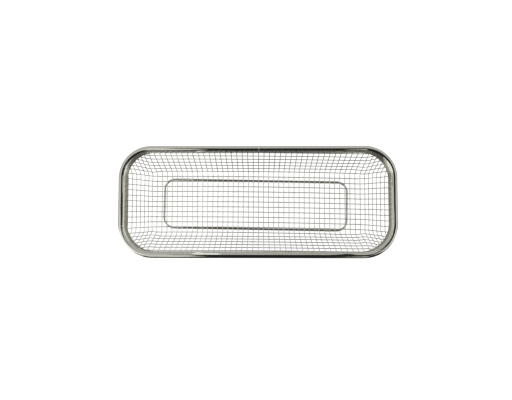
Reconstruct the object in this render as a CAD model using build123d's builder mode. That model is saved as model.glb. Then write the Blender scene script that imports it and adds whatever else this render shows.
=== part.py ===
from build123d import *
import math
import os

# Wire-mesh basket: a pressed tray of welded wire, a folded sheet rim round its mouth and a
# wire ring under its floor. Millimetres, +Z up, origin on the table under the basket's centre.

# Mesh tray: sizes of the middle of the mesh, taken as if its bends were sharp
floor_length = 209.6
floor_width = 61.0
floor_corner = 11.0
wall_slope = 63.0  # degrees above the floor
wall_height = 31.6  # from the floor up to the rim's lower edge
bend_radius = 5.0
mesh_wire = 0.8  # the mesh is two wires thick

# The mesh's ribs and the gaps between them
side_gaps = 11  # along the straight stretch of a long wall
end_gaps = 2  # along the straight stretch of an end wall
rib_width = 0.9
corner_margin = 1.2  # straight stretch left between the last rib and a corner's curve
layer_bite = 0.1  # how far the two layers of ribs are pressed into each other

# Rim: a strip of sheet folded over the mesh's edge
rim_height = 10.6
rim_width = 5.2
rim_sheet = 0.6
rim_pinch = 2.4  # height of the outer leg's upright lower edge
rim_shoulder = 2.5  # upright stretch of the outer leg under the rounded top
rim_fit = 0.05  # clearance between sheet and mesh
rim_head_room = 2.0  # from the mesh's edge up to the middle of the rounded top
knee_drop = 1.2  # the mesh turns upright this far below the rim
arch_steps = 12  # the rounded top is drawn with this many flats

# Base ring of thicker wire, welded on a little off centre and askew
ring_wire = 2.0
ring_length = 183.2  # between wire centres
ring_width = 48.4
ring_corner = 10.0
ring_shift_x = -2.5
ring_shift_y = -1.7
ring_turn = -1.0  # degrees
ring_fit = 0.02  # clearance between ring and mesh
ring_sides = 12  # the round wire is drawn with this many flats

# Worked-out sizes
slope = math.radians(wall_slope)
mesh_middle = ring_wire + ring_fit + mesh_wire
rim_bottom = mesh_middle + wall_height
knee_height = rim_bottom - knee_drop
wall_run = (knee_height - mesh_middle) / math.tan(slope)
mouth_length = floor_length + 2 * wall_run
mouth_width = floor_width + 2 * wall_run
mouth_corner = floor_corner + wall_run
bead = rim_width / 2  # outer radius of the rim's rounded top
bead_height = rim_bottom + rim_height - bead
mesh_top = bead_height - rim_head_room
straight_x = floor_length / 2 - floor_corner
straight_y = floor_width / 2 - floor_corner
side_pitch = 2 * (straight_x - corner_margin) / side_gaps
end_pitch = 2 * (straight_y - corner_margin) / end_gaps


def basin(outward):
    """A filled tray whose skin lies this far outside the middle of the mesh."""
    bottom = mesh_middle - outward
    spread = outward * math.tan(slope / 2)
    rise = (wall_run + outward - spread) * math.tan(slope)
    with BuildPart() as form:
        with BuildSketch(Plane.XY.offset(bottom)):
            RectangleRounded(
                floor_length + 2 * spread, floor_width + 2 * spread, floor_corner + spread
            )
        extrude(amount=rise, taper=wall_slope - 90)
        fillet(form.edges().group_by(Axis.Z)[0], radius=bend_radius + outward)
        with BuildSketch(Plane.XY.offset(bottom + rise)):
            RectangleRounded(
                mouth_length + 2 * outward, mouth_width + 2 * outward, mouth_corner + outward
            )
        extrude(amount=mesh_top - bottom - rise)
    return form.part


def run_round(section, length, width, corner, height):
    """Runs a section, X inwards and Y up, round a rectangle with rounded corners."""
    reach_x = length / 2 - corner
    reach_y = width / 2 - corner
    side = Plane(origin=(0, -width / 2, height), x_dir=(0, 1, 0), z_dir=(1, 0, 0))
    end = Plane(origin=(length / 2, -reach_y, height), x_dir=(-1, 0, 0), z_dir=(0, 1, 0))
    with BuildPart() as loop:
        with BuildSketch(side):
            add(section)
        extrude(amount=reach_x)
        with BuildSketch(side.offset(reach_x)):
            add(section)
        revolve(axis=Axis((reach_x, -reach_y, 0), (0, 0, 1)), revolution_arc=90)
        with BuildSketch(end):
            add(section)
        extrude(amount=reach_y)
        mirror(about=Plane.XZ)
        mirror(about=Plane.YZ)
    return loop.part


def arch(radius):
    """Points over a half circle, from +X round to -X, for a fold drawn in chords."""
    step = 180 / arch_steps
    return [Vector(radius, 0).rotate(Axis.Z, step * n) for n in range(arch_steps + 1)]


# Ribs that run along the basket, and the hoops: the mesh's outer layer is cut to these
with BuildPart() as long_ribs:
    with BuildSketch(Plane.XY):
        RectangleRounded(floor_length + rib_width, floor_width + rib_width, floor_corner)
        RectangleRounded(
            floor_length - rib_width, floor_width - rib_width, floor_corner, mode=Mode.SUBTRACT
        )
        with GridLocations(0, end_pitch, 1, end_gaps + 1):
            Rectangle(2 * mouth_length, rib_width)
    extrude(amount=mesh_top)
    with BuildSketch(Plane.XY.offset((mesh_middle + knee_height - rib_width) / 2)):
        Rectangle(2 * mouth_length, 2 * mouth_width)
    extrude(amount=rib_width)
    with BuildSketch(Plane.XY.offset(knee_height)):
        Rectangle(2 * mouth_length, 2 * mouth_width)
    extrude(amount=mesh_top - knee_height)

# Ribs that run across it, and up its corners: the inner layer is cut to these
with BuildPart() as cross_ribs:
    with BuildSketch(Plane.XY):
        with GridLocations(side_pitch, 0, side_gaps + 1, 1):
            Rectangle(rib_width, 2 * mouth_width)
        for x_sign in (-1, 1):
            for y_sign in (-1, 1):
                bearing = math.degrees(math.atan2(y_sign, x_sign))
                with Locations(Location((x_sign * straight_x, y_sign * straight_y), bearing)):
                    with Locations((floor_corner - rib_width / 2, 0)):
                        Rectangle(mouth_corner, rib_width, align=(Align.MIN, Align.CENTER))
    extrude(amount=mesh_top)
    with BuildSketch(Plane.XY.offset(knee_height)):
        Rectangle(2 * mouth_length, 2 * mouth_width)
    extrude(amount=mesh_top - knee_height)

with BuildPart() as outer_layer:
    add(basin(mesh_wire))
    add(basin(-layer_bite / 2), mode=Mode.SUBTRACT)
    add(long_ribs.part, mode=Mode.INTERSECT)

with BuildPart() as mesh_tray:
    add(basin(layer_bite / 2))
    add(basin(-mesh_wire), mode=Mode.SUBTRACT)
    add(cross_ribs.part, mode=Mode.INTERSECT)
    add(outer_layer.part)

# The rim's section, from the centre of its rounded top, and the ring's
bore = bead - rim_sheet
legs = bead - rim_height
mesh_in = bore - rim_fit  # the mesh's two faces inside the rim
mesh_out = mesh_in - 2 * mesh_wire
lip_in = mesh_out - rim_fit
lip_out = lip_in - rim_sheet
mouth_to_bead = mesh_in - mesh_wire  # from the middle of the mesh out to the section's origin

with BuildSketch() as rim_section:
    with BuildLine():
        Polyline(
            (bore, legs),
            (bead, legs),
            *arch(bead),
            (-bead, -rim_shoulder),
            (lip_out, legs + rim_pinch),
            (lip_out, legs),
            (lip_in, legs),
            (lip_in, legs + rim_pinch),
            (-bore, -rim_shoulder),
            *reversed(arch(bore)),
            close=True,
        )
    make_face()

with BuildSketch() as ring_section:
    RegularPolygon(ring_wire / 2, ring_sides, major_radius=False, rotation=180 / ring_sides)

with BuildPart() as rim_channel:
    add(
        run_round(
            rim_section.sketch,
            mouth_length + 2 * mouth_to_bead,
            mouth_width + 2 * mouth_to_bead,
            mouth_corner + mouth_to_bead,
            bead_height,
        )
    )

with BuildPart() as base_ring:
    with Locations(Location((ring_shift_x, ring_shift_y, 0), (0, 0, ring_turn))):
        add(run_round(ring_section.sketch, ring_length, ring_width, ring_corner, ring_wire / 2))

os.makedirs("parts", exist_ok=True)
mesh_tray.part.label = "mesh_tray"
export_step(mesh_tray.part, "parts/mesh_tray.step")
rim_channel.part.label = "rim_channel"
export_step(rim_channel.part, "parts/rim_channel.step")
base_ring.part.label = "base_ring"
export_step(base_ring.part, "parts/base_ring.step")
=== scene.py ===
import math

import bpy
import numpy as np
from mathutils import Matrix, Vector


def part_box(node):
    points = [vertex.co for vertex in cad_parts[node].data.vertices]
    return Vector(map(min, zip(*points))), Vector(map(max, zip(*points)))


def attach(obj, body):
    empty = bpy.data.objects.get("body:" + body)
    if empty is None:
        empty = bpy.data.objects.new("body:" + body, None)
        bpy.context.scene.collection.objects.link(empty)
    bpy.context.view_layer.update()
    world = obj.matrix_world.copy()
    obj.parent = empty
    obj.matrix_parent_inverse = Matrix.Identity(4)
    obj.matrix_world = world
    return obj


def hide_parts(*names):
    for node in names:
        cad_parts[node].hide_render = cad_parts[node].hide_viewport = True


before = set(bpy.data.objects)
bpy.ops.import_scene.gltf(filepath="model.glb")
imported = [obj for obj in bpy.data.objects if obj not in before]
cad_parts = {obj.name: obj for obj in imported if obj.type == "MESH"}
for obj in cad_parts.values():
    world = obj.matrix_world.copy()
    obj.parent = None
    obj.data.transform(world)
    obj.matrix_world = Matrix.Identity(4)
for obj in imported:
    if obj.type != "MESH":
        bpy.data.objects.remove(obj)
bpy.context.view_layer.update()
scene = bpy.context.scene

# the tray's form: lengths in metres, measured between the two layers of the mesh
tray = {
    "pitch": 0.00508,  # from wire to wire, both ways
    "wire": 0.0008,
    "layerGap": 0.00074,  # between the two layers' wire centres: a little under a wire, where the welds bite
    "floorLength": 0.2096,  # as if the bend round the floor were sharp
    "floorWidth": 0.0610,
    "floorCorner": 0.011,
    "wallSlope": math.radians(63),
    "bendRadius": 0.005,
    "kneeRadius": 0.003,  # where the wall turns upright into the rim
    "kneeDrop": 0.0012,  # below the rim's lower edge
    "columns": 27,  # cross wires each side of the middle one
    "rows": 13,
    "spareColumns": 3,  # laid out past the edge, so that every wire can be cut there
    "spareRows": 2,
    "rowShift": 0.0011,  # the mesh sits a little off the middle
    "columnShift": 0.00044,
    "skew": -0.0127,  # slope of the middle long wire
    "bow": -0.078,  # and how it curves, per metre
    "lean": 0.0021,  # slope of the middle cross wire
    "rimReach": 0.0297,  # from the core of a corner out to the rim
    "still": 0.001,  # below this rise the mesh does not follow the rim
    "sides": 8,
    "steps": 4,  # short lengths from one crossing to the next
}
trayLow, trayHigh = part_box("mesh_tray")
rimLow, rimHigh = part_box("rim_channel")
ringLow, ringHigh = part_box("base_ring")


def addNode(tree, kind, **settings):
    node = tree.nodes.new(kind)
    for name, value in settings.items():
        if name == "inputs":
            for socket, given in value.items():
                node.inputs[socket].default_value = given
        else:
            setattr(node, name, value)
    return node


def addSocket(tree, name, kind, way="INPUT", value=None):
    socket = tree.interface.new_socket(name, in_out=way, socket_type=kind)
    if value is not None:
        socket.default_value = value
    return socket


def emptyMaterial(name):
    material = bpy.data.materials.new(name)
    material.use_nodes = True
    material.node_tree.nodes.clear()
    return material, material.node_tree


def placed(name, data):
    thing = bpy.data.objects.new(name, data)
    scene.collection.objects.link(thing)
    return thing


def mathNode(tree, operation, first, second=None):
    node = addNode(tree, "ShaderNodeMath", operation=operation)
    for slot, given in enumerate((first, second)):
        if given is None:
            continue
        if isinstance(given, (int, float)):
            node.inputs[slot].default_value = given
        else:
            tree.links.new(given, node.inputs[slot])
    return node.outputs[0]


def drawnLinesGroup():
    # fine lines that a die or a roll leaves along the steel
    tree = bpy.data.node_groups.new("drawnLines", "ShaderNodeTree")
    addSocket(tree, "Along", "NodeSocketFloat")
    addSocket(tree, "Across", "NodeSocketFloat")
    addSocket(tree, "Line Length", "NodeSocketFloat", value=40.0)
    addSocket(tree, "Line Count", "NodeSocketFloat", value=3000.0)
    addSocket(tree, "Tone", "NodeSocketFloat", "OUTPUT")
    addSocket(tree, "Height", "NodeSocketFloat", "OUTPUT")
    ins = addNode(tree, "NodeGroupInput")
    outs = addNode(tree, "NodeGroupOutput")
    place = addNode(tree, "ShaderNodeCombineXYZ")
    for n, (way, scale) in enumerate((("Along", "Line Length"), ("Across", "Line Count"))):
        stretched = mathNode(tree, "MULTIPLY", ins.outputs[way], ins.outputs[scale])
        tree.links.new(stretched, place.inputs[n])
    lines = addNode(tree, "ShaderNodeTexNoise", inputs={"Scale": 1.0, "Detail": 3.0, "Roughness": 0.6})
    tree.links.new(place.outputs[0], lines.inputs["Vector"])
    spread = addNode(tree, "ShaderNodeMapRange", inputs={"From Min": 0.3, "From Max": 0.7})
    tree.links.new(lines.outputs["Fac"], spread.inputs["Value"])
    tree.links.new(spread.outputs["Result"], outs.inputs["Tone"])
    tree.links.new(lines.outputs["Fac"], outs.inputs["Height"])
    return tree


def handlingGroup():
    # dull patches and faint smears from washing and handling
    tree = bpy.data.node_groups.new("handlingMarks", "ShaderNodeTree")
    addSocket(tree, "Place", "NodeSocketVector")
    addSocket(tree, "Size", "NodeSocketFloat", value=60.0)
    addSocket(tree, "Amount", "NodeSocketFloat", value=0.5)
    addSocket(tree, "Marks", "NodeSocketFloat", "OUTPUT")
    ins = addNode(tree, "NodeGroupInput")
    outs = addNode(tree, "NodeGroupOutput")
    patches = addNode(tree, "ShaderNodeTexNoise", inputs={
        "Detail": 5.0, "Roughness": 0.55, "Distortion": 0.4})
    tree.links.new(ins.outputs["Place"], patches.inputs["Vector"])
    tree.links.new(ins.outputs["Size"], patches.inputs["Scale"])
    spread = addNode(tree, "ShaderNodeMapRange", inputs={"From Min": 0.35, "From Max": 0.7})
    tree.links.new(patches.outputs["Fac"], spread.inputs["Value"])
    amount = mathNode(tree, "MULTIPLY", spread.outputs["Result"], ins.outputs["Amount"])
    tree.links.new(amount, outs.inputs["Marks"])
    return tree


drawnLines = drawnLinesGroup()
handlingMarks = handlingGroup()


def steelMaterial(name, finish):
    # bare steel with lines along it; some finishes add a duller satin stretch with painted shade, or painted
    # shade along the long sides
    material, tree = emptyMaterial(name)
    out = addNode(tree, "ShaderNodeOutputMaterial")
    steel = addNode(tree, "ShaderNodeBsdfPrincipled", inputs={"Metallic": 1.0})
    tree.links.new(steel.outputs[0], out.inputs[0])
    along = addNode(tree, "ShaderNodeAttribute", attribute_name="along")
    across = addNode(tree, "ShaderNodeAttribute", attribute_name="across")
    lines = addNode(tree, "ShaderNodeGroup", node_tree=drawnLines)
    lines.inputs["Line Length"].default_value = finish["lineLength"]
    lines.inputs["Line Count"].default_value = finish["lineCount"]
    tree.links.new(along.outputs["Fac"], lines.inputs["Along"])
    tree.links.new(across.outputs["Fac"], lines.inputs["Across"])
    where = addNode(tree, "ShaderNodeTexCoord")
    marks = addNode(tree, "ShaderNodeGroup", node_tree=handlingMarks)
    marks.inputs["Size"].default_value = finish["markSize"]
    marks.inputs["Amount"].default_value = finish["markAmount"]
    tree.links.new(where.outputs["Object"], marks.inputs["Place"])
    tone = addNode(tree, "ShaderNodeMix", data_type="RGBA")
    tone.inputs["A"].default_value = (*finish["dark"], 1.0)
    tone.inputs["B"].default_value = (*finish["light"], 1.0)
    tree.links.new(lines.outputs["Tone"], tone.inputs["Factor"])
    low, high = finish["roughness"]
    rough = mathNode(tree, "MULTIPLY", lines.outputs["Tone"], (high - low) / 2)
    rough = mathNode(tree, "ADD", rough, mathNode(tree, "MULTIPLY", marks.outputs["Marks"], high - low))
    rough = mathNode(tree, "ADD", rough, low)
    colour = tone.outputs["Result"]
    if "satin" in finish:
        # where the wheel didn't reach: duller; the darker, browner colour there is painted shade
        dull = addNode(tree, "ShaderNodeAttribute", attribute_name="satin")
        satin = addNode(tree, "ShaderNodeMix", data_type="RGBA", blend_type="MULTIPLY")
        satin.inputs["B"].default_value = (*finish["satin"], 1.0)
        tree.links.new(dull.outputs["Fac"], satin.inputs["Factor"])
        tree.links.new(colour, satin.inputs["A"])
        colour = satin.outputs["Result"]
        duller = mathNode(tree, "MULTIPLY", dull.outputs["Fac"], finish["satinRoughness"])
        rough = mathNode(tree, "ADD", rough, duller)
    if "paintedSideShade" in finish:
        # painted shade: the long sides darker and browner, the ends left pale
        split = addNode(tree, "ShaderNodeSeparateXYZ")
        tree.links.new(where.outputs["Object"], split.inputs[0])
        off = mathNode(tree, "ABSOLUTE", mathNode(tree, "SUBTRACT", split.outputs[0], finish["middle"]))
        near, far = finish["fade"]
        heat = addNode(tree, "ShaderNodeMapRange", inputs={
            "From Min": near, "From Max": far, "To Min": 1.0, "To Max": 0.0})
        tree.links.new(off, heat.inputs["Value"])
        brown = addNode(tree, "ShaderNodeMix", data_type="RGBA", blend_type="MULTIPLY")
        brown.inputs["B"].default_value = (*finish["paintedSideShade"], 1.0)
        tree.links.new(heat.outputs["Result"], brown.inputs["Factor"])
        tree.links.new(colour, brown.inputs["A"])
        colour = brown.outputs["Result"]
    tree.links.new(colour, steel.inputs["Base Color"])
    tree.links.new(rough, steel.inputs["Roughness"])
    bump = addNode(tree, "ShaderNodeBump", inputs={"Strength": finish["bump"], "Distance": 0.0002})
    tree.links.new(lines.outputs["Height"], bump.inputs["Height"])
    tree.links.new(bump.outputs[0], steel.inputs["Normal"])
    return material


longSteel = steelMaterial("drawnWireSteel", {
    "light": (0.62, 0.62, 0.58),
    "dark": (0.46, 0.46, 0.43),
    "roughness": (0.20, 0.38),
    "lineLength": 60.0,
    "lineCount": 9000.0,
    "markSize": 90.0,
    "markAmount": 0.6,
    "bump": 0.15,
})
# the upper layer is paler than the lower
crossSteel = steelMaterial("rubbedWireSteel", {
    "light": (0.93, 0.93, 0.90),
    "dark": (0.78, 0.78, 0.75),
    "roughness": (0.16, 0.30),
    "lineLength": 60.0,
    "lineCount": 9000.0,
    "markSize": 60.0,
    "markAmount": 0.8,
    "bump": 0.15,
})
rimSteel = steelMaterial("polishedSheetSteel", {
    "light": (0.74, 0.74, 0.69),
    "dark": (0.66, 0.66, 0.61),
    "roughness": (0.04, 0.10),
    "lineLength": 14.0,
    "lineCount": 2600.0,
    "markSize": 45.0,
    "markAmount": 0.5,
    "bump": 0.10,
    "satin": (0.50, 0.49, 0.43),  # painted shade, which darkens and browns the legs
    "satinRoughness": 0.12,
})
ringSteel = steelMaterial("drawnRingSteel", {
    "light": (0.92, 0.92, 0.88),
    "dark": (0.76, 0.76, 0.72),
    # painted shade on the ring's long sides
    "paintedSideShade": (0.38, 0.36, 0.33),
    "middle": (ringLow.x + ringHigh.x) / 2,
    "fade": (0.074, 0.088),  # how far out the painted shade ends
    "roughness": (0.18, 0.38),
    "lineLength": 50.0,
    "lineCount": 6000.0,
    "markSize": 70.0,
    "markAmount": 0.6,
    "bump": 0.12,
})
weldSteel = steelMaterial("pickledWeld", {
    "light": (0.90, 0.89, 0.84),
    "dark": (0.60, 0.59, 0.54),
    "roughness": (0.35, 0.60),
    "lineLength": 900.0,
    "lineCount": 1500.0,
    "markSize": 400.0,
    "markAmount": 0.9,
    "bump": 0.60,
})
print("materials ready")


rim = {
    "width": 0.0052,
    "corner": 0.0302,  # outer
    # the corners came out wider or tighter than they were meant
    "bends": {(1, 1): -0.0016, (1, -1): 0.0004, (-1, -1): 0.0006, (-1, 1): -0.0014},
    "ends": {1: 0.0008, -1: 0.0002},  # how far each short side stands in
    "sheet": 0.0006,
    "shoulder": 0.0025,  # upright stretch of the outer leg under the rounded top
    "pinch": 0.0024,  # height of the outer leg's lower edge, which grips the mesh
    "polish": 0.0001,  # the duller satin and its painted shade start this far below the middle of the rounded top
    "polishFade": 0.0006,
    "bend": 0.0009,  # radius of the outer leg's two bends
    "bendSteps": 5,
    "sharpFrom": math.radians(40),
    "seamX": 0.0008,  # where the strip's ends meet, on the +Y side
    "seamGap": 0.00012,
    "seamEase": 0.0006,  # first step of the loop away from the seam
    "straightStep": 0.012,
    "cornerSteps": 28,
    "arcSteps": 22,
}


def roundedLoop(halfX, halfY, corner, cornerSteps, straightStep, startX, bends=None, ends=None):
    # points and outward directions, clockwise from a place on the +Y side
    bends, ends = bends or {}, ends or {}
    loop = []
    for signX, signY, first in ((1, 1, 90), (1, -1, 0), (-1, -1, -90), (-1, 1, -180)):
        radius = corner + bends.get((signX, signY), 0.0)
        core = Vector((signX * (halfX - ends.get(signX, 0.0) - radius), signY * (halfY - radius)))
        for n in range(cornerSteps + 1):
            angle = math.radians(first - 90 * n / cornerSteps)
            out = Vector((math.cos(angle), math.sin(angle)))
            loop.append((core + out * radius, out))
    filled = []
    for n, (point, out) in enumerate(loop):
        nextPoint = loop[(n + 1) % len(loop)][0]
        filled.append((point, out))
        gap = (nextPoint - point).length
        if gap > 2 * straightStep:
            parts = int(gap / straightStep)
            filled += [(point.lerp(nextPoint, k / parts), out) for k in range(1, parts)]
    start = Vector((startX, halfY))
    first = min(range(len(filled)), key=lambda n: (filled[n][0] - start).length)
    return filled[first:] + filled[:first]


def rimLoops():
    # the sheet's fold as it was meant, and as it came out of the bender
    half = rim["width"] / 2
    sizes = (rimHigh.x - half, rimHigh.y - half, rim["corner"] - half)
    steps = (rim["cornerSteps"], rim["straightStep"], rim["seamX"])
    return roundedLoop(*sizes, *steps), roundedLoop(*sizes, *steps, rim["bends"], rim["ends"])


meantLoop, bentLoop = rimLoops()


def rimMoves():
    # how far out the bent rim lies from the meant one, at each point of the meant one
    line = np.array([p for p, _ in bentLoop])
    farSide = 0.01  # what lies further off is another side of the loop
    moves = []
    for point, out in meantLoop:
        side = np.array([-out.y, out.x])
        offsets = (line - np.array(point)) @ side
        outs = (line - np.array(point)) @ np.array(out)
        best = 0.0
        for k in range(len(line)):
            a, b = offsets[k - 1], offsets[k]
            if a * b <= 0 and a != b:
                move = outs[k - 1] + (outs[k] - outs[k - 1]) * a / (a - b)
                if abs(move) < farSide:
                    best = move
        moves.append(best)
    return np.array([p for p, _ in meantLoop]), np.array(moves)


meantPoints, meantMoves = rimMoves()


def rimPull(core, out, height):
    # the mesh follows the bent rim, less and less down to its floor
    reach = core + out * tray["rimReach"]
    near = np.linalg.norm(meantPoints - reach, axis=1)
    first, second = np.argsort(near)[:2]
    share = near[first] / (near[first] + near[second])
    move = meantMoves[first] * (1 - share) + meantMoves[second] * share
    climb = min(max((height - trayMiddle) / (rimLow.z - trayMiddle), 0.0), 1.0)
    return out * move * climb * climb * (3 - 2 * climb)


def trayProfile():
    # reach and rise over the way up the tray, from the inner core line to above the rim
    slope = tray["wallSlope"]
    kneeTurn = math.pi / 2 - slope
    rise = rimLow.z - tray["kneeDrop"] - trayMiddle
    bend, knee = tray["bendRadius"], tray["kneeRadius"]
    flat = tray["floorCorner"] - bend * math.tan(slope / 2)
    wall = rise / math.sin(slope) - bend * math.tan(slope / 2) - knee * math.tan(kneeTurn / 2)
    upright, samples = 0.06, 4001
    marks = np.cumsum([0, flat, bend * slope, wall, knee * kneeTurn, upright])
    way = np.linspace(0, marks[-1], samples)
    lean = np.interp(way, marks, [0, 0, slope, slope, math.pi / 2, math.pi / 2])
    lean = (lean[1:] + lean[:-1]) / 2
    reach = np.concatenate([[0], np.cumsum(np.cos(lean) * way[1])])
    height = np.concatenate([[0], np.cumsum(np.sin(lean) * way[1])])
    return way, reach, height


trayMiddle = trayLow.z + tray["wire"]
coreHalf = np.array([tray["floorLength"], tray["floorWidth"]]) / 2 - tray["floorCorner"]
trayWay, trayReach, trayRise = trayProfile()
trayEnd = float(np.interp(trayHigh.z - trayMiddle, trayRise, trayWay))


def onTray(spot):
    # a place on the mesh laid flat to its point in space, and how far out it lies
    core = np.clip(spot, -coreHalf, coreHalf)
    away = spot - core
    out = math.hypot(*away)
    share = np.interp(out, trayWay, trayReach) / out if out > 1e-12 else 1.0
    flat = core + away * share
    height = trayMiddle + np.interp(out, trayWay, trayRise)
    if height > trayMiddle + tray["still"]:
        flat = flat + rimPull(core, away / out, height)
    return np.array([flat[0], flat[1], height]), out


def trayNormal(spot):
    # square to the tray, up and inwards
    core = np.clip(spot, -coreHalf, coreHalf)
    away = spot - core
    out = math.hypot(*away)
    if out < 1e-12:
        return np.array([0.0, 0.0, 1.0])
    ends = np.array([out - 1e-5, out + 1e-5])
    run = float(np.diff(np.interp(ends, trayWay, trayReach))[0])
    climb = float(np.diff(np.interp(ends, trayWay, trayRise))[0])
    size = math.hypot(run, climb)
    return np.array([*(-away / out * climb / size), run / size])


def pressMesh():
    # the cells keep their sides and shear when the mesh is pressed
    pitch, tries = tray["pitch"], 8
    columns, rows = tray["columns"] + tray["spareColumns"], tray["rows"] + tray["spareRows"]
    shiftX, shiftY = tray["columnShift"], tray["rowShift"]
    spots = {(0, 0): np.array([shiftX, shiftY])}
    points = {(0, 0): onTray(spots[0, 0])[0]}

    def middleRow(x):
        return np.array([x, shiftY + tray["skew"] * x + tray["bow"] * x * x])

    def middleColumn(y):
        return np.array([shiftX + tray["lean"] * y, y])

    for sign in (1, -1):
        for count, line, start, key in (
            (columns, middleRow, shiftX, lambda n: (n, 0)),
            (rows, middleColumn, shiftY, lambda n: (0, n)),
        ):
            for n in range(1, count + 1):
                last = points[key(sign * (n - 1))]
                start += sign * pitch
                for _ in range(tries):
                    start += sign * (pitch - np.linalg.norm(onTray(line(start))[0] - last))
                spots[key(sign * n)] = line(start)
                points[key(sign * n)] = onTray(line(start))[0]
    for signX in (1, -1):
        for signY in (1, -1):
            for j in range(1, rows + 1):
                for i in range(1, columns + 1):
                    placeCrossing(spots, points, signX, signY, i, j)
    return spots, points


def placeCrossing(spots, points, signX, signY, i, j):
    # the crossing one pitch from both of its neighbours, found by Newton's method
    here = (signX * i, signY * j)
    besideX, besideY = (signX * (i - 1), signY * j), (signX * i, signY * (j - 1))
    corner = (signX * (i - 1), signY * (j - 1))
    if besideX not in spots or besideY not in spots:
        return
    pitch = tray["pitch"]
    spare = 2.2 * pitch  # kept past the edge, for the wires' last bends
    tries, nudge, closeEnough, longestMove = 12, 1e-7, 1e-13, 0.002
    near = (points[besideX], points[besideY])
    spot = spots[besideX] + spots[besideY] - spots[corner]
    for _ in range(tries):
        point = onTray(spot)[0]
        miss = np.array([((point - p) ** 2).sum() - pitch * pitch for p in near])
        if np.abs(miss).max() < closeEnough:
            break
        alongX = (onTray(spot + [nudge, 0])[0] - point) / nudge
        alongY = (onTray(spot + [0, nudge])[0] - point) / nudge
        slopes = np.array([[2 * (point - p) @ alongX, 2 * (point - p) @ alongY] for p in near])
        move = np.linalg.solve(slopes, -miss)
        spot = spot + move * min(1.0, longestMove / max(np.linalg.norm(move), 1e-9))
    point, out = onTray(spot)
    if out < trayEnd + spare:
        spots[here] = spot
        points[here] = point


spots, points = pressMesh()
print("mesh pressed:", len(points), "crossings")


def tubeTree():
    tree = bpy.data.node_groups.new("wireTubes", "GeometryNodeTree")
    addSocket(tree, "Geometry", "NodeSocketGeometry")
    addSocket(tree, "Wire Radius", "NodeSocketFloat", value=0.0004)
    addSocket(tree, "Layer Height", "NodeSocketFloat", value=0.0004)
    addSocket(tree, "Steps", "NodeSocketInt", value=4)
    addSocket(tree, "Sides", "NodeSocketInt", value=8)
    addSocket(tree, "Finish", "NodeSocketMaterial")
    addSocket(tree, "Geometry", "NodeSocketGeometry", "OUTPUT")
    ins = addNode(tree, "NodeGroupInput")
    outs = addNode(tree, "NodeGroupOutput")
    link = tree.links.new
    # push each crossing to its side of the mesh
    lift = addNode(tree, "GeometryNodeInputNamedAttribute", data_type="FLOAT_VECTOR", inputs={"Name": "lift"})
    push = addNode(tree, "ShaderNodeVectorMath", operation="SCALE")
    link(lift.outputs["Attribute"], push.inputs[0])
    link(ins.outputs["Layer Height"], push.inputs["Scale"])
    moved = addNode(tree, "GeometryNodeSetPosition")
    link(ins.outputs["Geometry"], moved.inputs["Geometry"])
    link(push.outputs[0], moved.inputs["Offset"])
    # a smooth spline through the crossings
    curve = addNode(tree, "GeometryNodeMeshToCurve")
    link(moved.outputs[0], curve.inputs[0])
    smooth = addNode(tree, "GeometryNodeCurveSplineType", spline_type="CATMULL_ROM")
    link(curve.outputs[0], smooth.inputs[0])
    fine = addNode(tree, "GeometryNodeSetSplineResolution")
    link(smooth.outputs[0], fine.inputs[0])
    link(ins.outputs["Steps"], fine.inputs["Resolution"])
    length = addNode(tree, "GeometryNodeSplineParameter")
    along = addNode(tree, "GeometryNodeStoreNamedAttribute", data_type="FLOAT", inputs={"Name": "along"})
    link(fine.outputs[0], along.inputs["Geometry"])
    link(length.outputs["Length"], along.inputs["Value"])
    # the round section
    circle = addNode(tree, "GeometryNodeCurvePrimitiveCircle", mode="RADIUS")
    link(ins.outputs["Sides"], circle.inputs["Resolution"])
    link(ins.outputs["Wire Radius"], circle.inputs["Radius"])
    turn = addNode(tree, "GeometryNodeSplineParameter")
    across = addNode(tree, "GeometryNodeStoreNamedAttribute", data_type="FLOAT", inputs={"Name": "across"})
    link(circle.outputs[0], across.inputs["Geometry"])
    link(turn.outputs["Length"], across.inputs["Value"])
    tube = addNode(tree, "GeometryNodeCurveToMesh", inputs={"Fill Caps": True})
    link(along.outputs[0], tube.inputs["Curve"])
    link(across.outputs[0], tube.inputs["Profile Curve"])
    shaded = addNode(tree, "GeometryNodeSetShadeSmooth")
    link(tube.outputs[0], shaded.inputs[0])
    real = addNode(tree, "GeometryNodeRealizeInstances")
    link(shaded.outputs[0], real.inputs[0])
    finish = addNode(tree, "GeometryNodeSetMaterial")
    link(real.outputs[0], finish.inputs["Geometry"])
    link(ins.outputs["Finish"], finish.inputs["Material"])
    link(finish.outputs[0], outs.inputs[0])
    return tree


wireTubes = tubeTree()


def grown(name, vertices, edges, attributes, tree, inputs, material):
    # runs a node tree over a set of points and keeps the result as a plain mesh
    seedMesh = bpy.data.meshes.new(name + "Paths")
    seedMesh.from_pydata([tuple(v) for v in vertices], edges, [])
    for attributeName, values in attributes.items():
        layer = seedMesh.attributes.new(attributeName, "FLOAT_VECTOR", "POINT")
        layer.data.foreach_set("vector", np.array(values, float).ravel())
    seedObject = placed(name + "Seed", seedMesh)
    modifier = seedObject.modifiers.new("grow", "NODES")
    modifier.node_group = tree
    inputs = {**inputs, "Finish": material}
    for item in tree.interface.items_tree:
        if item.item_type == "SOCKET" and item.in_out == "INPUT" and item.name in inputs:
            modifier[item.identifier] = inputs[item.name]
    evaluated = seedObject.evaluated_get(bpy.context.evaluated_depsgraph_get())
    mesh = bpy.data.meshes.new_from_object(evaluated)
    mesh.name = name
    seedObject.modifiers.remove(modifier)
    bpy.data.objects.remove(seedObject)
    if not mesh.materials:
        mesh.materials.append(material)
    return placed(name, mesh)


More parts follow.
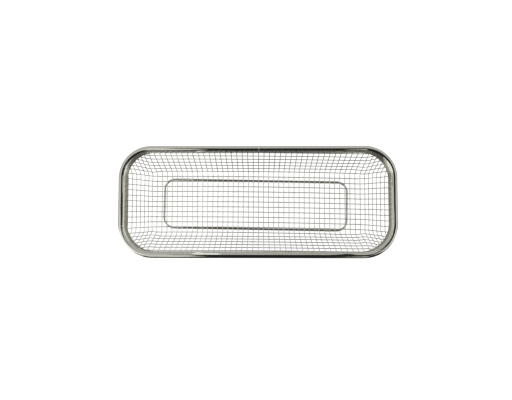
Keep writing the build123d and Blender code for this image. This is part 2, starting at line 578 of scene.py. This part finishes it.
def wirePath(keys, side):
    # one wire's crossings, cut off at the mesh's edge, and the way to its side of the mesh
    way = {key: onTray(spots[key])[1] for key in keys if key in spots}
    middle = len(keys) // 2
    run = [keys[middle]]
    for step in (1, -1):
        n = middle
        while keys[n] in way and way[keys[n]] < trayEnd and 0 <= n + step < len(keys):
            n += step
            if keys[n] in way:
                run.insert(len(run) if step == 1 else 0, keys[n])
    places, lifts = [], []
    for n, key in enumerate(run):
        spot = spots[key]
        if way[key] > trayEnd:
            other = run[1] if n == 0 else run[n - 1]
            share = (trayEnd - way[other]) / (way[key] - way[other])
            spot = spots[other] + (spot - spots[other]) * share
        places.append(onTray(spot)[0])
        lifts.append(trayNormal(spot) * side)
    return places, lifts


def wireLayer(name, wires, side, steel):
    vertices, lifts, edges = [], [], []
    for keys in wires:
        places, pushes = wirePath(keys, side)
        if len(places) < 3:
            continue
        first = len(vertices)
        vertices += places
        lifts += pushes
        edges += [(n, n + 1) for n in range(first, len(vertices) - 1)]
    return grown(name, vertices, edges, {"lift": lifts}, wireTubes, {
        "Wire Radius": tray["wire"] / 2,
        "Layer Height": tray["layerGap"] / 2,
        "Steps": tray["steps"],
        "Sides": tray["sides"],
    }, steel)


def bothWays(count):
    return range(-count, count + 1)


overRows = bothWays(tray["rows"] + tray["spareRows"])
overColumns = bothWays(tray["columns"] + tray["spareColumns"])
acrossPaths = [[(i, j) for j in overRows] for i in bothWays(tray["columns"])]
alongPaths = [[(i, j) for i in overColumns] for j in bothWays(tray["rows"])]
crossWires = wireLayer("crossWires", acrossPaths, 1, crossSteel)
longWires = wireLayer("longWires", alongPaths, -1, longSteel)
print("wires:", len(crossWires.data.polygons) + len(longWires.data.polygons), "faces")


def filleted(line, radius, steps):
    # rounds the inner corners of a 2D line
    made = [Vector(line[0])]
    for n in range(1, len(line) - 1):
        before, here, after = (Vector(line[k]) for k in (n - 1, n, n + 1))
        a, b = (before - here).normalized(), (after - here).normalized()
        turn = math.pi - a.angle(b)
        back = radius * math.tan(turn / 2)
        middle = here + (a + b).normalized() * radius / math.cos(turn / 2)
        for k in range(steps + 1):
            spoke = (here + a * back - middle).lerp(here + b * back - middle, k / steps)
            made.append(middle + spoke.normalized() * radius)
    made.append(Vector(line[-1]))
    return made


def rimSection():
    # the sheet's middle line, X inwards and Y up from the centre of the rounded top
    middle = (rim["width"] - rim["sheet"]) / 2
    legs = rimLow.z - (rimHigh.z - rim["width"] / 2)
    line = [Vector((middle, legs - legs * share)) for share in (0.0, 0.25, 0.5, 0.75)]
    for n in range(rim["arcSteps"] + 1):
        angle = math.pi * n / rim["arcSteps"]
        line.append(Vector((middle * math.cos(angle), middle * math.sin(angle))))
    outerLeg = [(-middle, 0), (-middle, -rim["shoulder"]), (0, legs + rim["pinch"]), (0, legs)]
    return line + filleted(outerLeg, rim["bend"], rim["bendSteps"])[1:]


def sheetSection(line, thickness):
    # a closed outline round a middle line, with eased cut edges
    flat, eased = 0.55, 0.45  # of half the thickness
    outer, inner = [], []
    for n, point in enumerate(line):
        before, after = line[max(n - 1, 0)], line[min(n + 1, len(line) - 1)]
        way = (after - before).normalized()
        side = Vector((way.y, -way.x))
        half = thickness / 2
        if n in (0, len(line) - 1):
            end = -way if n == 0 else way
            outer.append(point + side * half * flat)
            inner.append(point - side * half * flat)
            start = point - end * half * eased
            if n == 0:
                outer.append(start + side * half)
                inner.append(start - side * half)
            else:
                outer.insert(-1, start + side * half)
                inner.insert(-1, start - side * half)
            continue
        outer.append(point + side * half)
        inner.append(point - side * half)
    return outer, inner


def rimFaces(rounds, size, half):
    # the skin round the section, and the strip's two cut ends
    faces = []
    for n in range(rounds - 1):
        for k in range(size):
            a, b = n * size + k, n * size + (k + 1) % size
            faces.append((a, a + size, b + size, b))
    last = (rounds - 1) * size
    for k in range(half - 1):
        faces.append((k, k + 1, size - 2 - k, size - 1 - k))
        faces.append((last + k, last + size - 1 - k, last + size - 2 - k, last + k + 1))
    return faces


def makeRim():
    halfY = rimHigh.y - rim["width"] / 2
    loop, out = bentLoop, bentLoop[0][1]
    near, far = rim["seamGap"] / 2, rim["seamEase"]
    seam = Vector((rim["seamX"], halfY))
    along = Vector((1, 0))
    loop = [(seam + along * near, out), (seam + along * far, out)] + loop[1:]
    loop += [(seam - along * far, out), (seam - along * near, out)]
    outer, inner = sheetSection(rimSection(), rim["sheet"])
    section = outer + inner[::-1]
    acrossSteps = [0.0]
    for a, b in zip(section, section[1:]):
        acrossSteps.append(acrossSteps[-1] + (b - a).length)
    height = rimHigh.z - rim["width"] / 2
    vertices, along, across, satin = [], [], [], []
    travelled = 0.0
    for n, (point, out) in enumerate(loop):
        if n:
            travelled += (point - loop[n - 1][0]).length
        for spot, way in zip(section, acrossSteps):
            flat = point - out * spot.x
            vertices.append((flat.x, flat.y, height + spot.y))
            along.append(travelled)
            across.append(way)
            # a duller satin finish and painted shade, from just below the middle of the rounded top down the
            # legs
            satin.append(min(max(-(spot.y + rim["polish"]) / rim["polishFade"], 0.0), 1.0))
    mesh = bpy.data.meshes.new("foldedRim")
    mesh.from_pydata(vertices, [], rimFaces(len(loop), len(section), len(outer)))
    mesh.validate()
    for name, values in (("along", along), ("across", across), ("satin", satin)):
        mesh.attributes.new(name, "FLOAT", "POINT").data.foreach_set("value", values)
    mesh.shade_smooth()
    mesh.set_sharp_from_angle(angle=rim["sharpFrom"])
    mesh.materials.append(rimSteel)
    return placed("foldedRim", mesh)


foldedRim = makeRim()
print("rim:", len(foldedRim.data.polygons), "faces")

ring = {
    "wire": 0.002,
    "length": 0.1832,  # between wire centres
    "width": 0.0484,
    "corner": 0.010,
    "turn": math.radians(-1.0),
    "startX": -0.03,
    "straightStep": 0.006,
    "cornerSteps": 10,
    "sides": 20,
    "steps": 2,
}


def onRing(x, y):
    # a place in the ring's own plane, turned and shifted as the ring lies
    centre = (ringLow + ringHigh) / 2
    cosine, sine = math.cos(ring["turn"]), math.sin(ring["turn"])
    return centre.x + x * cosine - y * sine, centre.y + x * sine + y * cosine


def makeRing():
    sizes = (ring["length"] / 2, ring["width"] / 2, ring["corner"])
    loop = roundedLoop(*sizes, ring["cornerSteps"], ring["straightStep"], ring["startX"])
    height = ringLow.z + ring["wire"] / 2
    vertices = [(*onRing(p.x, p.y), height) for p, _ in loop]
    count = len(vertices)
    edges = [(n, (n + 1) % count) for n in range(count)]
    return grown("baseRing", vertices, edges, {"lift": [(0, 0, 0)] * count}, wireTubes, {
        "Wire Radius": ring["wire"] / 2,
        "Layer Height": 0.0,
        "Steps": ring["steps"],
        "Sides": ring["sides"],
    }, ringSteel)


baseRing = makeRing()

welds = {
    "radius": 0.00118,
    "lift": 0.0002,
    "back": ((-0.077, -0.064), (0.068, 0.076)),  # from and to along the ring's +Y side
    "front": ((-0.077, -0.073), (0.0615, 0.0635), (0.070, 0.076)),
    "parts": 4,  # lengths in one run
    "steps": 2,
    "sides": 16,
}


def makeWelds():
    # where the ring is held to the mesh, and the butt joint of its own two ends
    height = ringLow.z + ring["wire"] / 2 + welds["lift"]
    parts = welds["parts"]
    vertices, edges = [], []
    for side, runs in ((1, welds["back"]), (-1, welds["front"])):
        for start, end in runs:
            first = len(vertices)
            for n in range(parts + 1):
                x = start + (end - start) * n / parts
                vertices.append((*onRing(x, side * ring["width"] / 2), height))
            edges += [(n, n + 1) for n in range(first, first + parts)]
    return grown("ringWelds", vertices, edges, {"lift": [(0, 0, 0)] * len(vertices)}, wireTubes, {
        "Wire Radius": welds["radius"],
        "Layer Height": 0.0,
        "Steps": welds["steps"],
        "Sides": welds["sides"],
    }, weldSteel)


ringWelds = makeWelds()
print("ring:", len(baseRing.data.polygons) + len(ringWelds.data.polygons), "faces")

# what each piece stands for, and where its finish comes from
for piece, node, slot in (
    (crossWires, "mesh_tray", "wire_cloth"),
    (longWires, "mesh_tray", "wire_cloth"),
    (foldedRim, "rim_channel", "rim_steel"),
    (baseRing, "base_ring", "ring_steel"),
    (ringWelds, "base_ring", "ring_steel"),
):
    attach(piece, "root")
    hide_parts(node)

studio = {
    "tint": (1.0, 0.99, 0.96),
    "floorSize": 6.0,
    "floorGlow": 0.75,
    "backdrop": 0.76,  # white paper far below the glass that the basket stands on
    "rear": 0.60,  # wide light behind, from overhead down to the horizon
    "sides": 0.53,
    "sidesHigh": 0.90,
    "dim": 0.32,  # low on the right in front
    "paper": 1.30,  # the bright paper aslant in front, to both sides
    "paperHigh": 0.80,  # its top on the left, as the sine of the height
    "paperLow": 0.0,
    "paperShift": -0.5,  # it ends sooner on the right
    "tableLow": 0.32,  # how the dark front widens downwards and upwards
    "tableHigh": 0.12,
    "windows": 0.95,
    "shade": 0.02,  # all that is black
    "frontLeft": 0.64,  # width of the table's dark front
    "frontRight": 1.10,
    "hoodHeight": 0.275,  # black card over the middle, under the camera
    "hoodAcross": (-0.101, 0.190),
    "hoodAlong": (-0.600, 0.056),
    "hoodFlap": -0.140,  # the hood is wider on the left, behind this
    "hoodFlapFront": -0.005,
    "blind": 0.095,  # black card that hangs over the right end
    "blindAlong": (-0.060, 0.022),
    "blindUp": (0.075, 0.190),
    "glint": 1.7,  # a small lamp over the front rim
    "glintAcross": (-0.064, -0.038),
    "glintPlace": -0.015,
    "glintUp": (0.058, 0.083),
    "glintBacking": 0.0003,  # the lamp's black back lies this far behind it
    "paperCard": 1.35,  # white card over the floor, turned to the left end
    "paperPlace": -0.060,
    "paperAlong": (-0.030, 0.025),
    "paperUp": (0.006, 0.030),
}


def makeFloor():
    size = studio["floorSize"]
    mesh = bpy.data.meshes.new("floor")
    corners = [(-size, -size, 0), (size, -size, 0), (size, size, 0), (-size, size, 0)]
    mesh.from_pydata(corners, [], [(0, 1, 2, 3)])
    floor = placed("floor", mesh)
    material, tree = emptyMaterial("whiteFloor")
    out = addNode(tree, "ShaderNodeOutputMaterial")
    paint = addNode(tree, "ShaderNodeBsdfDiffuse", inputs={"Color": (0.8, 0.8, 0.8, 1)})
    glow = addNode(tree, "ShaderNodeEmission", inputs={"Color": (1, 1, 1, 1)})
    path = addNode(tree, "ShaderNodeLightPath")
    seen = mathNode(tree, "ADD", path.outputs["Is Camera Ray"], path.outputs["Is Transmission Ray"])
    tree.links.new(mathNode(tree, "MULTIPLY", seen, studio["floorGlow"]), glow.inputs["Strength"])
    both = addNode(tree, "ShaderNodeAddShader")
    tree.links.new(paint.outputs[0], both.inputs[0])
    tree.links.new(glow.outputs[0], both.inputs[1])
    tree.links.new(both.outputs[0], out.inputs[0])
    mesh.materials.append(material)
    # the steel mirrors the backdrop, which the world holds, and not this sheet
    floor.visible_glossy = False


def makeCard(name, vertices, faces, strength):
    # seen by the steel alone
    mesh = bpy.data.meshes.new(name)
    mesh.from_pydata(vertices, [], faces)
    card = placed(name, mesh)
    material, tree = emptyMaterial(name)
    glow = addNode(tree, "ShaderNodeEmission", inputs={"Color": (1, 1, 1, 1), "Strength": strength})
    tree.links.new(glow.outputs[0], addNode(tree, "ShaderNodeOutputMaterial").inputs[0])
    mesh.materials.append(material)
    for ray in ("camera", "diffuse", "transmission", "volume_scatter", "shadow"):
        setattr(card, "visible_" + ray, False)


def levelCard(across, along, height):
    west, east = across
    front, back = along
    return [(x, y, height) for x, y in ((west, front), (east, front), (east, back), (west, back))]


def uprightCard(place, across, up, alongX):
    low, high = up
    a, b = across
    corners = ((a, low), (b, low), (b, high), (a, high))
    return [(u, place, v) if alongX else (place, u, v) for u, v in corners]


def makeCards():
    west, east = studio["hoodAcross"]
    front, back = studio["hoodAlong"]
    height = studio["hoodHeight"]
    flap, flapFront = studio["hoodFlap"], studio["hoodFlapFront"]
    black = levelCard((west, east), (front, back), height)
    black += levelCard((flap, west), (flapFront, back), height)
    black += uprightCard(studio["blind"], studio["blindAlong"], studio["blindUp"], False)
    # the glint shines forwards only
    backing = studio["glintPlace"] + studio["glintBacking"]
    black += uprightCard(backing, studio["glintAcross"], studio["glintUp"], True)
    makeCard("blackCards", black, [tuple(range(n, n + 4)) for n in range(0, len(black), 4)], studio["shade"])
    glint = uprightCard(studio["glintPlace"], studio["glintAcross"], studio["glintUp"], True)
    makeCard("glint", glint, [(0, 1, 2, 3)], studio["glint"])
    paper = uprightCard(studio["paperPlace"], studio["paperAlong"], studio["paperUp"], False)
    makeCard("paperCard", paper, [(0, 1, 2, 3)], studio["paperCard"])


# where one part of the room fades into the next: forwards over sideways, or the sine of the height
fades = {
    "rear": (-0.2, 0.6),
    "high": (0.30, 0.75),
    "backdrop": (-0.36, -0.52),
    "dimAhead": (-0.45, -0.75),
    "dimUp": (0.45, 0.30),
    "right": (-0.05, 0.05),
    "left": (0.05, -0.05),
    "paperStart": (-0.05, -0.28),
    "paperEnd": (-1.15, -0.70),
    "paperTop": (0.1, -0.1),
    "horizon": (-0.05, 0.05),
    "table": (-0.05, 0.03),
    "frontWidth": (-0.08, 0.08),
    "windowInner": (0.20, 0.28),
    "windowOuter": (0.56, 0.46),
    "windowFoot": (0.30, 0.48),
    "windowTop": (0.92, 0.80),
}


def makeWorld():
    world = bpy.data.worlds.new("studio")
    scene.world = world
    world.use_nodes = True
    tree = world.node_tree
    tree.nodes.clear()
    link = tree.links.new
    out = addNode(tree, "ShaderNodeOutputWorld")
    way = addNode(tree, "ShaderNodeTexCoord")
    parts = addNode(tree, "ShaderNodeSeparateXYZ")
    link(way.outputs["Generated"], parts.inputs[0])
    sideways = mathNode(tree, "ABSOLUTE", parts.outputs["X"])
    forwards, up = parts.outputs["Y"], parts.outputs["Z"]
    steep = mathNode(tree, "ABSOLUTE", up)

    def fade(value, name):
        low, high = fades[name]
        node = addNode(tree, "ShaderNodeMapRange", interpolation_type="SMOOTHSTEP", inputs={
            "From Min": low, "From Max": high})
        link(value, node.inputs["Value"])
        return node.outputs["Result"]

    def mixed(factor, low, high):
        node = addNode(tree, "ShaderNodeMix", data_type="FLOAT")
        for socket, given in (("Factor", factor), ("A", low), ("B", high)):
            if isinstance(given, float):
                node.inputs[socket].default_value = given
            else:
                link(given, node.inputs[socket])
        return node.outputs["Result"]

    # behind: one wide light, and softer ones to both sides, over a white backdrop
    tiny = 0.01
    ratio = mathNode(tree, "DIVIDE", forwards, mathNode(tree, "MAXIMUM", sideways, tiny))
    beside = mixed(fade(up, "high"), studio["sides"], studio["sidesHigh"])
    above = mixed(fade(ratio, "rear"), beside, studio["rear"])
    below = mixed(fade(up, "backdrop"), above, studio["backdrop"])
    # low on the right in front the room is dim
    dim = mathNode(tree, "MULTIPLY", fade(ratio, "dimAhead"), fade(up, "dimUp"))
    dim = mathNode(tree, "MULTIPLY", dim, fade(parts.outputs["X"], "right"))
    below = mixed(dim, below, studio["dim"])
    # aslant in front: bright paper, high and low on the left, low on the right
    leftward = fade(parts.outputs["X"], "left")
    moved = mathNode(tree, "ADD", ratio, mixed(leftward, studio["paperShift"], 0.0))
    paper = mathNode(tree, "MULTIPLY", fade(ratio, "paperStart"), fade(moved, "paperEnd"))
    overTop = mathNode(tree, "SUBTRACT", up, mixed(leftward, studio["paperLow"], studio["paperHigh"]))
    paper = mathNode(tree, "MULTIPLY", paper, fade(overTop, "paperTop"))
    around = mixed(paper, below, studio["paper"])
    # the dark front of the table, and two windows that open in it
    widening = mixed(fade(up, "horizon"), studio["tableLow"], studio["tableHigh"])
    reach = mathNode(tree, "MULTIPLY", steep, widening)
    front = fade(mathNode(tree, "ADD", forwards, reach), "table")
    ahead = mathNode(tree, "MAXIMUM", mathNode(tree, "MULTIPLY", forwards, -1.0), tiny)
    lean = mathNode(tree, "DIVIDE", sideways, ahead)
    width = mixed(leftward, studio["frontRight"], studio["frontLeft"])
    front = mathNode(tree, "MAXIMUM", front, fade(mathNode(tree, "SUBTRACT", lean, width), "frontWidth"))
    window = mathNode(tree, "MULTIPLY", fade(lean, "windowInner"), fade(lean, "windowOuter"))
    window = mathNode(tree, "MULTIPLY", window, fade(up, "windowFoot"))
    window = mathNode(tree, "MULTIPLY", window, fade(up, "windowTop"))
    level = mixed(front, mixed(window, studio["shade"], studio["windows"]), around)
    room = addNode(tree, "ShaderNodeBackground", inputs={"Color": (*studio["tint"], 1)})
    link(level, room.inputs["Strength"])
    white = addNode(tree, "ShaderNodeBackground", inputs={"Color": (1, 1, 1, 1), "Strength": 1.0})
    path = addNode(tree, "ShaderNodeLightPath")
    choose = addNode(tree, "ShaderNodeMixShader")
    link(path.outputs["Is Camera Ray"], choose.inputs[0])
    link(room.outputs[0], choose.inputs[1])
    link(white.outputs[0], choose.inputs[2])
    link(choose.outputs[0], out.inputs[0])


makeFloor()
makeCards()
makeWorld()

camera = {
    "place": (0.0009, -0.0114, 0.3400),
    "turn": (0.04305, 0.0086, 0.0007),
    "lens": 23.67,
    "sensor": 36.0,
    "clipStart": 0.01,
}


def makeCamera():
    data = bpy.data.cameras.new("camera")
    data.lens = camera["lens"]
    data.sensor_width = camera["sensor"]
    data.clip_start = camera["clipStart"]
    scene.camera = placed("camera", data)
    scene.camera.location = camera["place"]
    scene.camera.rotation_euler = camera["turn"]
    scene.view_settings.view_transform = "Standard"


makeCamera()
print("studio and camera ready")
